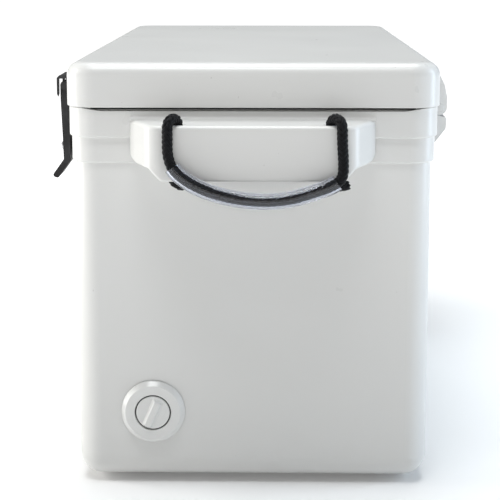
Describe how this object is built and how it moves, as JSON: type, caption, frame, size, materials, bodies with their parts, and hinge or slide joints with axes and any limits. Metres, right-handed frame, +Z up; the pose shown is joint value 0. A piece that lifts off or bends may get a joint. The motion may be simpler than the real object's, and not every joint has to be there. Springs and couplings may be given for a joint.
{
  "type": "cooler on wheels",
  "caption": "Hard-sided insulated cooler with hinged gasketed lid, rubber draw latches, rope carry handles, screw drain plug and wheels at one end.",
  "frame": {"origin": "on the floor, under the middle of the body", "axes": "+Z up; -Y the end with the drain plug; +Y the end with the wheels; -X the side with the latches; +X the side with the hinges"},
  "size_m": [0.4883, 0.9734, 0.514],
  "materials": {
    "white_shell": "satin",
    "white_liner": "satin",
    "white_fitting": "gloss",
    "foam": "matte",
    "black_rubber": "matte",
    "black_plastic": "satin",
    "steel": "satin",
    "rope": "matte",
    "clear_sleeve": "gloss",
    "wheel_grey": "satin",
    "tyre": "matte"
  },
  "bodies": {
    "cooler_body": {"outer_shell": "white_shell", "inner_liner": "white_liner", "body_foam": "foam", "foot_left": "black_rubber", "foot_right": "black_rubber", "foot_screws": "steel", "drain_flange": "white_fitting", "drain_gasket": "black_rubber", "drain_nut": "white_fitting", "near_rope_tails": "rope", "far_rope_tails": "rope", "near_rope_bends": "rope", "far_rope_bends": "rope", "near_latch_keeper": "black_plastic", "far_latch_keeper": "black_plastic", "latch_body_screws": "steel", "near_hinge_body_leaf": "white_fitting", "far_hinge_body_leaf": "white_fitting", "hinge_body_screws": "steel", "axle": "steel", "axle_washers": "steel", "axle_caps": "steel"},
    "lid": {"lid_shell": "white_shell", "lid_liner": "white_liner", "lid_foam": "foam", "lid_gasket": "black_rubber", "near_latch_bracket": "black_plastic", "far_latch_bracket": "black_plastic", "near_latch_pin": "black_plastic", "far_latch_pin": "black_plastic", "latch_lid_screws": "steel", "near_hinge_lid_leaf": "white_fitting", "far_hinge_lid_leaf": "white_fitting", "near_hinge_pin": "steel", "far_hinge_pin": "steel", "near_hinge_caps": "white_fitting", "far_hinge_caps": "white_fitting", "hinge_lid_screws": "steel"},
    "near_latch": {"near_latch_strap": "black_rubber", "near_latch_stud": "steel"},
    "far_latch": {"far_latch_strap": "black_rubber", "far_latch_stud": "steel"},
    "drain_seal_carrier": {"drain_washer": "black_rubber"},
    "drain_cap": {"drain_plug": "white_fitting"},
    "near_handle": {"near_rope_loop": "rope", "near_grip_sleeve": "clear_sleeve"},
    "far_handle": {"far_rope_loop": "rope", "far_grip_sleeve": "clear_sleeve"},
    "left_wheel_set": {"left_wheel": "wheel_grey", "left_tyre": "tyre", "left_wheel_bush": "black_plastic"},
    "right_wheel_set": {"right_wheel": "wheel_grey", "right_tyre": "tyre", "right_wheel_bush": "black_plastic"}
  },
  "joints": [
    {"name": "lid_hinge", "type": "hinge", "parent": "cooler_body", "child": "lid", "pos_m": [0.228, 0, 0.452], "axis": [0, 1, 0], "range_deg": [0, 95]},
    {"name": "near_latch_pivot", "type": "hinge", "parent": "lid", "child": "near_latch", "pos_m": [-0.234, -0.28, 0.477], "axis": [0, 1, 0], "range_deg": [0, 90]},
    {"name": "far_latch_pivot", "type": "hinge", "parent": "lid", "child": "far_latch", "pos_m": [-0.234, 0.28, 0.477], "axis": [0, 1, 0], "range_deg": [0, 90]},
    {"name": "drain_travel", "type": "slide", "parent": "cooler_body", "child": "drain_seal_carrier", "axis": [0, -1, 0], "range_m": [0, 0.0101]},
    {"name": "drain_turn", "type": "hinge", "parent": "drain_seal_carrier", "child": "drain_cap", "pos_m": [-0.12, -0.4, 0.0927], "axis": [0, -1, 0], "range_deg": [0, 900]},
    {"name": "near_handle_swing", "type": "hinge", "parent": "cooler_body", "child": "near_handle", "pos_m": [0, -0.463, 0.4435], "axis": [-1, 0, 0], "range_deg": [0, 165], "deforming": ["near_rope_bends"]},
    {"name": "far_handle_swing", "type": "hinge", "parent": "cooler_body", "child": "far_handle", "pos_m": [0, 0.463, 0.4435], "axis": [1, 0, 0], "range_deg": [0, 165], "deforming": ["far_rope_bends"]},
    {"name": "left_wheel_spin", "type": "hinge", "parent": "cooler_body", "child": "left_wheel_set", "pos_m": [-0.18, 0.326, 0.08], "axis": [1, 0, 0], "continuous": true},
    {"name": "right_wheel_spin", "type": "hinge", "parent": "cooler_body", "child": "right_wheel_set", "pos_m": [0.18, 0.326, 0.08], "axis": [1, 0, 0], "continuous": true}
  ],
  "couplings": [
    {"joint": "drain_travel", "follows": "drain_turn", "m_per_rad": 0.00063662}
  ]
}
